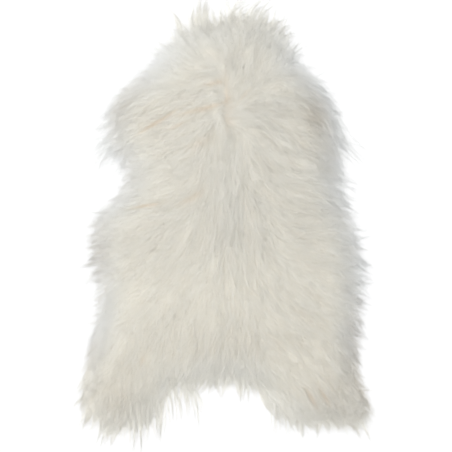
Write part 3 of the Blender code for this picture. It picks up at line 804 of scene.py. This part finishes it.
def way_ahead(seeds, turn, curl, sway, rng):
    """Lines from the seeds on along the combed direction, curling and waving as they go, and
    how far each goes to the rim. The sway is the spread of the waves' heights."""
    height = rng.normal(0.0, sway, len(seeds))[:, None]
    start = rng.uniform(0.0, 1.0, len(seeds))[:, None]
    along = np.arange(TRACE_STEPS)[None] * TRACE_STEP
    bend = curl[:, None] * along / (TRACE_STEPS * TRACE_STEP)
    wave = height * np.sin(2.0 * np.pi * (along / WAVE_LENGTH + start))
    front = traced(seeds, TRACE_STEP, turn[:, None] + bend + wave)
    out = DEPTH.at(front) < 0.0
    return front, np.where(out.any(axis=1), out.argmax(axis=1), TRACE_STEPS) * TRACE_STEP


def way_thrown(seeds, tips, bend):
    """Lines from the seeds through given tips and on, a step at a time: each is straight but
    for a parabola's bow to its side. Returns the length to each tip too."""
    throw = tips - seeds
    length = np.linalg.norm(throw, axis=1)
    share = np.arange(TRACE_STEPS + 1) * TRACE_STEP / length[:, None]
    aside = turned_left(throw) * bend[:, None]
    bow = (4.0 * share * (1.0 - share))[..., None]
    return seeds[:, None] + share[..., None] * throw[:, None] + bow * aside[:, None], length


def read_along(lines, place):
    """Each line read at its own places, which count its points from 0: between two points a
    weighted mean of them."""
    cell = np.minimum(place.astype(int), lines.shape[1] - 2)
    rest = (place - cell)[..., None]
    line = np.arange(len(lines))[:, None]
    return lines[line, cell] * (1.0 - rest) + lines[line, cell + 1] * rest


def lock_lines(back, behind, front, ahead):
    """Middle lines of locks, as (lock, station, xy): each from its root behind the seed to its
    tip ahead of it."""
    whole = np.concatenate([back[:, :0:-1], front], axis=1)
    share = np.linspace(0.0, 1.0, LOCK_STATIONS)[None]
    place = TRACE_STEPS + ((behind + ahead)[:, None] * share - behind[:, None]) / TRACE_STEP
    return read_along(whole, np.clip(place, 0.0, 2 * TRACE_STEPS - 0.001))


def tone_at(points):
    """The wool's tone by its place, from 0 for the rim's painted light tint to CREAM_AT for cream:
    the painted light tint grows towards the rim, though less so at the neck and legs."""
    near_rim = limited(1.0 - DEPTH.at(points) / RIM_LIGHT_BAND)
    ends = limited((np.abs(points[..., 1] - 0.05) - 0.32) / 0.10)
    return CREAM_AT * (1.0 - near_rim * (1.0 - 0.90 * ends))


def light_at(points, shading):
    """How light the wool is by its place: plain inside the rim, darker by its own share of the
    painted shades, and paler past the rim, which is painted light."""
    shade = limited(spots_at(points, PAINTED_SHADES) * shading)
    past = limited(-DEPTH.at(points) / TIP_LIGHT_BAND)
    return PLAIN_AT * (1.0 - shade) + (1.0 - PLAIN_AT) * past


def strand_surface(line, radius, phase, tone, light):
    """Closed tapered tubes with three sides round each strand's line. Returns points, faces and
    the strand map: U holds the tone with a sliver of width, and V how light the wool is."""
    count, stations = line.shape[:2]
    tangent = unit(np.gradient(line, axis=1))
    across = unit(np.cross(tangent, np.array([0.0, 0.0, 1.0])))
    upright = np.cross(across, tangent)
    angle = phase[:, None, None] + np.arange(SIDES) * 2.0 * np.pi / SIDES
    body = stations - 1
    ring = (
        line[:, :body, None]
        + radius[:, :body, None, None] * np.cos(angle)[..., None] * across[:, :body, None]
        + radius[:, :body, None, None] * np.sin(angle)[..., None] * upright[:, :body, None]
    )
    points = np.concatenate([ring.reshape(count, body * SIDES, 3), line[:, -1:]], axis=1)
    a_strand = body * SIDES + 1

    side = np.arange(SIDES)
    after = (side + 1) % SIDES
    rows = (np.arange(body - 1) * SIDES)[:, None]
    quads = [rows + side, rows + SIDES + side, rows + SIDES + after, rows + after]
    quads = np.stack(quads, axis=-1).reshape(-1, 4)
    last = (body - 1) * SIDES
    tips = np.column_stack([last + after, last + side, np.full(SIDES, body * SIDES)])
    triangles = np.vstack([tips, side])  # the last one closes the root
    start = (np.arange(count) * a_strand)[:, None, None]
    faces = [(start + quads).reshape(-1, 4), (start + triangles).reshape(-1, 3)]

    width_u = np.concatenate([np.tile(side * SLIVER, body), [SLIVER]])
    corner_u, corner_v = (
        np.column_stack([np.repeat(value[:, :body], SIDES, axis=1), value[:, -1]])
        for value in (tone, light)
    )
    corner_uv = np.stack([corner_u + width_u, corner_v], axis=-1)
    triangle_uv = corner_uv[:, triangles]
    triangle_uv[:, -1, 0, 1] -= CAP_SLIVER
    uv = np.concatenate([corner_uv[:, quads].reshape(-1, 2), triangle_uv.reshape(-1, 2)])
    return points.reshape(-1, 3), faces, uv


def grow_strands(locks, number, settings, rng):
    """Grows a number of strands for each lock. A strand starts at its own root beside the
    lock's middle line and draws in towards it, rises through the undercoat, and lies along the
    combed surface, higher towards its tip. Past the rim it comes down to the floor. Returns its
    line, and at each of its points the radius, the tone and how light it is."""
    own = {name: np.repeat(trait, number, axis=0) for name, trait in locks.items()}
    count = len(own["line"])
    share = STRAND_SHARES
    offset = rng.normal(0.0, 0.7 * settings.lock_spacing, (count, 2)) * own["spread"]
    reach = 1.06 - own["ragged"] * rng.uniform(0.0, 1.0, (count, 1))
    plan = read_along(own["line"], limited(share * reach) * (LOCK_STATIONS - 1))
    drawn = 1.0 - own["gather"] * share**1.3
    plan = plan + offset[:, None] * drawn[..., None]
    stray = rng.normal(0.0, 1.0, (count, 2)) * own["stray"]
    plan = plan + stray[:, None] * (share**1.5)[:, None]

    depth = DEPTH.at(plan)
    ground = bed_height(plan, STRAND_BED)
    open_air = limited(depth / RIM_BAND)
    lift = own["lift"] + rng.normal(0.0, 0.0008, (count, 1))
    bow = own["bow"] * np.sin(np.pi * share)
    over = (lift * share**0.65 + bow) * (0.5 + 0.5 * open_air)
    over -= ROOT_DIP * (1.0 - share)
    outside = limited(-depth / LANDING)
    settle = ground * (1.0 - outside) + FLOOR_REST * outside
    height = settle + over * (1.0 - 0.6 * outside)
    thickness = settings.thickness * own["fine"] * rng.uniform(0.75, 1.25, (count, 1))
    radius = 0.5 * thickness * STRAND_TAPER
    height = np.maximum(height, radius + 0.0002)
    line = np.concatenate([plan, height[..., None]], axis=2)
    uneven = own["tone"] + rng.normal(0.0, 0.02, (count, 1))
    tone = np.clip(tone_at(plan) + uneven, 0.01, 0.60)
    stain = spots_at(plan, BLUSHES) * rng.uniform(0.5, 1.2, (count, 1))
    tone = tone + (0.97 - tone) * limited(stain)
    uneven = own["light"] + rng.normal(0.0, 0.02, (count, 1))
    shading = np.repeat(rng.uniform(0.3, 1.9, (len(locks["seeds"]), 1)), number, axis=0)
    # Painted shade: the wool is a little darker towards its root, where it lies under the other
    # strands.
    light = light_at(plan, shading) + uneven - 0.05 * (1.0 - share)
    return line, radius, tone, np.clip(light, 0.02, 0.95) + 0.03 * share


def locks_of(seeds, line, **traits):
    """Locks with their seeds and middle lines, and each trait as a column with a value for every
    lock. The traits are the strands' gather, lift, bow, spread, fineness, raggedness and stray,
    and what the lock adds to their tone and lightness."""
    count = len(seeds)
    traits = {name: np.broadcast_to(value, count)[:, None] for name, value in traits.items()}
    return {"seeds": seeds, "line": line, **traits}


def body_locks(settings, rng):
    """The locks of the combed surface: one through each point of an even spread over the rug,
    and more at the thin places."""
    low, high = EDGE.min(axis=0), EDGE.max(axis=0)
    seeds = even_points(low, high, settings.lock_spacing, 0.42, rng)
    extra = even_points(low, high, settings.lock_spacing, 0.42, rng)
    seeds = np.vstack([seeds, extra[spots_at(extra, THIN_PLACES) > 0.5]])
    seeds = seeds[DEPTH.at(seeds) > SEED_INSET]
    count = len(seeds)
    near_rim = limited(1.0 - DEPTH.at(seeds) / CALM_BAND)
    fluff = fluff_at(seeds) * (1.0 - near_rim)
    turn = 0.16 * slow_wander(seeds, 0.07, rng)
    spine = limited(1.0 - np.abs(seeds[:, 0]) / SPINE_BAND)
    turn += rng.normal(0.0, 1.0, count) * (0.10 + 0.10 * fluff + 0.02 * spine)
    curl = rng.normal(0.0, 1.0, count) * (0.35 + 0.45 * fluff)
    staple = settings.length * rng.uniform(0.80, 1.15, count) * (1.0 - 0.30 * fluff)
    staple *= 1.0 + 0.10 * slow_wander(seeds, 0.20, rng)
    reach = 0.006 + 0.8 * REACH.at(seeds) * rng.uniform(0.0, 1.0, count) ** 2
    back, first_deep = way_back(seeds, turn)
    front, first_out = way_ahead(seeds, turn, curl, 0.22, rng)
    behind = np.maximum(BEHIND * staple, first_deep)
    ahead = np.minimum(AHEAD * staple, first_out + reach)
    light = 0.03 * slow_wander(seeds, 0.04, rng)
    light += 0.03 * slow_wander(seeds, 0.018, rng)
    light += rng.normal(0.0, 0.015, count)
    aside = seeds[:, 0]
    light *= 0.6 + limited(np.abs(aside) / 0.16) + limited(aside / 0.2)
    return locks_of(
        seeds,
        lock_lines(back, behind, front, ahead),
        gather=settings.gather * (1.0 - 0.45 * fluff),
        lift=rng.uniform(0.0025, 0.0045, count),
        bow=rng.uniform(-0.0005, 0.0015, count),
        spread=rng.uniform(0.8, 1.3, count),
        fine=rng.uniform(0.85, 1.15, count) * (1.0 - 0.10 * near_rim),
        ragged=0.26,
        stray=0.0013 + 0.0012 * fluff,
        tone=0.04 * slow_wander(seeds, 0.05, rng) + rng.normal(0.0, 0.02, count),
        light=light * (1.0 - 0.5 * fluff * limited(1.0 - aside / 0.25)),
    )


def fringe_locks(settings, rng):
    """Soft wisps all along the rim, some reaching far past it and some hardly."""
    ring = spread_evenly(TRACED, settings.wisp_spacing)
    count = len(ring)
    inwards = -outward_normals(ring[:, :2])
    seeds = ring[:, :2] + rng.uniform(0.004, 0.018, (count, 1)) * inwards
    seeds += rng.normal(0.0, 0.003, (count, 2))
    turn = 0.25 * slow_wander(seeds, 0.05, rng) + rng.normal(0.0, 0.20, count)
    curl = rng.normal(0.0, 0.8, count)
    back, first_deep = way_back(seeds, turn)
    front, first_out = way_ahead(seeds, turn, curl, 0.25, rng)
    reach = 0.006 + ring[:, 2] * rng.uniform(0.3, 1.8, count)
    return locks_of(
        seeds,
        lock_lines(back, np.maximum(LEAST_ROOT, first_deep), front, first_out + reach),
        gather=rng.uniform(0.68, 0.93, count),
        lift=rng.uniform(0.001, 0.006, count),
        bow=rng.uniform(0.0, 0.002, count),
        spread=rng.uniform(0.30, 0.70, count),
        fine=rng.uniform(0.75, 1.15, count),
        ragged=0.48,
        stray=0.0011,
        tone=rng.normal(0.0, 0.03, count),
        light=rng.normal(0.0, 0.02, count),
    )


def wisp_locks(rng):
    """The wisps that the table names, each thrown out from its foot to its tip as a few finer
    ones side by side, which end apart from one another."""
    wisps = np.array(WISPS)
    wisps = np.repeat(wisps, (wisps[:, 5].astype(int) + 1) // 2, axis=0)
    count = len(wisps)
    throw = wisps[:, 2:4] - wisps[:, :2]
    aside = unit(turned_left(throw))
    beside = rng.normal(0.0, 1.0, (count, 1)) * WISP_BREADTH * np.sqrt(wisps[:, 5:6])
    seeds = wisps[:, :2] + beside * aside
    tips = seeds + throw * rng.uniform(0.65, 1.35, (count, 1))
    far = np.linalg.norm(throw, axis=1)[:, None]
    tips += aside * (rng.normal(0.0, 0.08, (count, 1)) * far)
    back, first_deep = way_back(seeds, np.zeros(count))
    front, length = way_thrown(seeds, tips, wisps[:, 4])
    return locks_of(
        seeds,
        lock_lines(back, np.maximum(LEAST_ROOT, first_deep), front, 1.15 * length),
        gather=rng.uniform(0.78, 0.95, count),
        lift=rng.uniform(0.002, 0.007, count),
        bow=rng.uniform(0.0, 0.002, count),
        spread=0.34,
        fine=1.1,
        ragged=0.48,
        stray=0.0010,
        tone=rng.normal(0.0, 0.03, count),
        light=rng.normal(0.0, 0.02, count),
    )


COMB_SEED = 77
FRINGE_SEED = 78
DRAWN_STRANDS = 15  # in each of the finer wisps that the table's are made of

# The pieces that the wool is kept in, each with the wool that grows between two places along Y.
STRETCHES = table("low high name", 2, (
    (-1000, -262, "wool_legs"), (-262, -98, "wool_rump"), (-98, 72, "wool_back"),
    (72, 245, "wool_shoulders"), (245, 1000, "wool_neck"),
))


def dress(piece, material, slot, *nodes):
    """Gives a finished piece its material, the body it rides on, and the solids that it stands
    for. The slot is not used."""
    piece.data.materials.append(material)
    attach(piece, "root")
    if nodes:
        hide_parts(*nodes)


def lay_wool(name, material, *strands):
    """A piece of wool from its strands' lines, radii, turns, tones and lightness."""
    dress(mesh_object(name, *strand_surface(*strands)), material, "wool", "fleece")


class RUG_OT_lay_hide(bpy.types.Operator):
    """Lays the tanned hide: a flat sheet whose outline follows the solids' and wanders a little"""

    bl_idname = "rug.lay_hide"
    bl_label = "Hide"

    def execute(self, context):
        settings = context.scene.rug_hide
        count = len(HIDE_EDGE)
        around = np.arange(count) / count * 2.0 * np.pi
        wander = sum(np.sin(around * waves + waves) for waves in (23, 41, 67)) / 3.0
        edge = HIDE_EDGE + settings.ripple * wander[:, None] * outward_normals(HIDE_EDGE)
        soft = 0.0008  # the cut edge's rounding
        inner = edge - soft * outward_normals(edge)
        shares = np.linspace(0.1, 0.96, 5)
        rings = [flat_ring(ring_between(inner, s), HIDE_THICKNESS) for s in shares]
        rings += [flat_ring(inner, HIDE_THICKNESS), flat_ring(edge, HIDE_THICKNESS - soft)]
        rings += [flat_ring(edge, soft), flat_ring(inner, 0.0)]
        rings += [flat_ring(ring_between(inner, s), 0.0) for s in shares[::-1]]
        points, faces = rings_surface(rings)
        hide = mesh_object("suede_hide", points, faces)
        hide.data.set_sharp_from_angle(angle=math.radians(40.0))
        dress(hide, suede_material(settings), "skin", "hide")
        return {"FINISHED"}


class RUG_OT_pad_undercoat(bpy.types.Operator):
    """Lays the undercoat: the fleece's own form, a little lower than the combed surface"""

    bl_idname = "rug.pad_undercoat"
    bl_label = "Undercoat"

    def execute(self, context):
        settings = context.scene.rug_undercoat
        rim = UNDERCOAT_EDGE
        shares = np.concatenate([np.linspace(0.01, 0.88, 44), np.linspace(0.90, 1.0, 8)])
        lip, bank_width = 0.004, 0.03  # height of the edge, and the width of the bank above it
        rings = []
        for share in shares:
            plan = ring_between(rim, share)
            fill = 0.45 * parting_at(plan) / PARTING_DEPTH + spots_at(plan, PADS)
            height = HEIGHT.at(plan) - settings.cover * (1.0 - fill)
            bank = np.sqrt(limited((DEPTH.at(plan) - UNDERCOAT_INSET) / bank_width))
            rings.append(np.column_stack([plan, lip + np.maximum(height - lip, 0.001) * bank]))
        rings.append(flat_ring(rim, UNDERSIDE))
        recess = HIDE_EDGE + SIDE_GAP * outward_normals(HIDE_EDGE)
        turned = np.arctan2(*(rim - PLAN_CENTRE).T[::-1])
        bearing = np.arctan2(*(recess - PLAN_CENTRE).T[::-1])
        order = np.argsort(bearing)
        away = np.linalg.norm(recess - PLAN_CENTRE, axis=1)
        radius = np.interp(turned, bearing[order], away[order], period=2.0 * np.pi)
        recess = PLAN_CENTRE + radius[:, None] * np.column_stack([np.cos(turned), np.sin(turned)])
        rings.append(flat_ring(recess, UNDERSIDE))
        shares = (1.0, 0.7, 0.4, 0.1)
        rings += [flat_ring(ring_between(recess, s), HIDE_THICKNESS + GAP) for s in shares]
        points, faces = rings_surface(rings)
        undercoat = mesh_object("undercoat", points, faces)
        dress(undercoat, undercoat_material(settings), "wool", "fleece")
        return {"FINISHED"}


class RUG_OT_comb_wool(bpy.types.Operator):
    """Grows the long wool all over the hide, in locks that follow the comb"""

    bl_idname = "rug.comb_wool"
    bl_label = "Combed wool"

    def execute(self, context):
        settings = context.scene.rug_wool
        rng = np.random.default_rng(COMB_SEED)
        locks = body_locks(settings, rng)
        line, radius, tone, light = grow_strands(locks, settings.strands_per_lock, settings, rng)
        phase = rng.uniform(0.0, 2.0 * np.pi, len(line))
        seed_y = np.repeat(locks["seeds"][:, 1], settings.strands_per_lock)
        material = wool_material(settings)
        for stretch in STRETCHES:
            own = (seed_y >= stretch.low) & (seed_y < stretch.high)
            strands = (part[own] for part in (line, radius, phase, tone, light))
            lay_wool(stretch.name, material, *strands)
        return {"FINISHED"}


class RUG_OT_tease_fringe(bpy.types.Operator):
    """Draws fine wisps of wool out past the rim"""

    bl_idname = "rug.tease_fringe"
    bl_label = "Fringe"

    def execute(self, context):
        settings = context.scene.rug_wool
        rng = np.random.default_rng(FRINGE_SEED)
        soft, drawn = fringe_locks(settings, rng), wisp_locks(rng)
        grown = [
            grow_strands(soft, settings.strands_per_wisp, settings, rng),
            grow_strands(drawn, DRAWN_STRANDS, settings, rng),
        ]
        line, radius, tone, light = (np.concatenate(part) for part in zip(*grown))
        phase = rng.uniform(0.0, 2.0 * np.pi, len(line))
        lay_wool("wool_fringe", bpy.data.materials["Wool"], line, radius, phase, tone, light)
        return {"FINISHED"}


PICTURE = 452  # pixels on a side
PLAN_ORIGIN = (224.5, 222.0)  # where the plan's origin lies in it, from the left and the top
FRAMED_HEIGHT = 0.03  # the frame's width is measured at this height over the floor


class RUG_OT_set_stage(bpy.types.Operator):
    """Sets a plain pale floor, soft studio light and a camera straight above"""

    bl_idname = "rug.set_stage"
    bl_label = "Stage"

    def execute(self, context):
        settings = context.scene.rug_stage
        scene = context.scene
        mesh = bpy.data.meshes.new("floor")
        half = 6.0
        corners = [(half * x, half * y, 0.0) for x, y in ((-1, -1), (1, -1), (1, 1), (-1, 1))]
        mesh.from_pydata(corners, [], [(0, 1, 2, 3)])
        mesh.materials.append(floor_material(settings))
        floor = bpy.data.objects.new("floor", mesh)
        scene.collection.objects.link(floor)

        world = bpy.data.worlds.new("Studio")
        world.use_nodes = True
        background = world.node_tree.nodes["Background"]
        background.inputs["Color"].default_value = (0.97, 0.985, 1.0, 1.0)
        background.inputs["Strength"].default_value = settings.ambient
        scene.world = world

        light = bpy.data.lights.new("key", "AREA")
        light.shape = "SQUARE"
        light.size = 2.6
        light.energy = settings.key_power
        light.color = (1.0, 0.985, 0.96)
        key = bpy.data.objects.new("key", light)
        key.location = (-1.45, 0.45, 2.1)
        aim = -key.location
        key.rotation_euler = aim.to_track_quat("-Z", "Y").to_euler()
        scene.collection.objects.link(key)

        scale = settings.frame_width / PICTURE
        middle = (PICTURE / 2 - np.array(PLAN_ORIGIN)) * (scale, -scale) + SHIFT
        lens = bpy.data.cameras.new("camera")
        lens.sensor_width = 36.0
        distance = settings.camera_height - FRAMED_HEIGHT
        lens.lens = lens.sensor_width * distance / settings.frame_width
        camera = bpy.data.objects.new("camera", lens)
        camera.location = (middle[0], middle[1], settings.camera_height)
        scene.collection.objects.link(camera)
        scene.camera = camera
        scene.view_settings.view_transform = "Standard"
        scene.cycles.max_bounces = 32
        scene.cycles.diffuse_bounces = 32  # white wool is lit by what it scatters
        scene.cycles.filter_width = settings.softness
        return {"FINISHED"}


class RUG_PT_panel(bpy.types.Panel):
    """Lists the rug's pieces in the 3D view's sidebar"""

    bl_label = "Sheepskin Rug"
    bl_space_type = "VIEW_3D"
    bl_region_type = "UI"
    bl_category = "Sheepskin"

    def draw(self, context):
        for operator, settings in STEPS:
            box = self.layout.box()
            group = getattr(context.scene, settings)
            for name in group.bl_rna.properties.keys():
                if name not in ("rna_type", "name"):
                    box.prop(group, name)
            box.operator(operator.bl_idname)


STEPS = (
    (RUG_OT_lay_hide, "rug_hide"),
    (RUG_OT_pad_undercoat, "rug_undercoat"),
    (RUG_OT_comb_wool, "rug_wool"),
    (RUG_OT_tease_fringe, "rug_wool"),
    (RUG_OT_set_stage, "rug_stage"),
)
SETTINGS = {
    "rug_hide": HideSettings,
    "rug_undercoat": UndercoatSettings,
    "rug_wool": WoolSettings,
    "rug_stage": StageSettings,
}


def register():
    for settings in SETTINGS.values():
        bpy.utils.register_class(settings)
    for name, settings in SETTINGS.items():
        setattr(bpy.types.Scene, name, PointerProperty(type=settings))
    for operator, _ in STEPS:
        bpy.utils.register_class(operator)
    bpy.utils.register_class(RUG_PT_panel)


def unregister():
    bpy.utils.unregister_class(RUG_PT_panel)
    for operator, _ in reversed(STEPS):
        bpy.utils.unregister_class(operator)
    for name, settings in reversed(SETTINGS.items()):
        delattr(bpy.types.Scene, name)
        bpy.utils.unregister_class(settings)


def declare_hide():
    """Gathers the wool pieces in a list, and does nothing more with them."""
    wool = [bpy.data.objects[stretch.name] for stretch in STRETCHES]
    wool += [bpy.data.objects["wool_fringe"], bpy.data.objects["undercoat"]]


def main():
    """Makes the pieces and the stage in order."""
    register()
    for operator, _ in STEPS:
        group, name = operator.bl_idname.split(".")
        getattr(getattr(bpy.ops, group), name)()
    declare_hide()


if __name__ == "__main__":
    main()
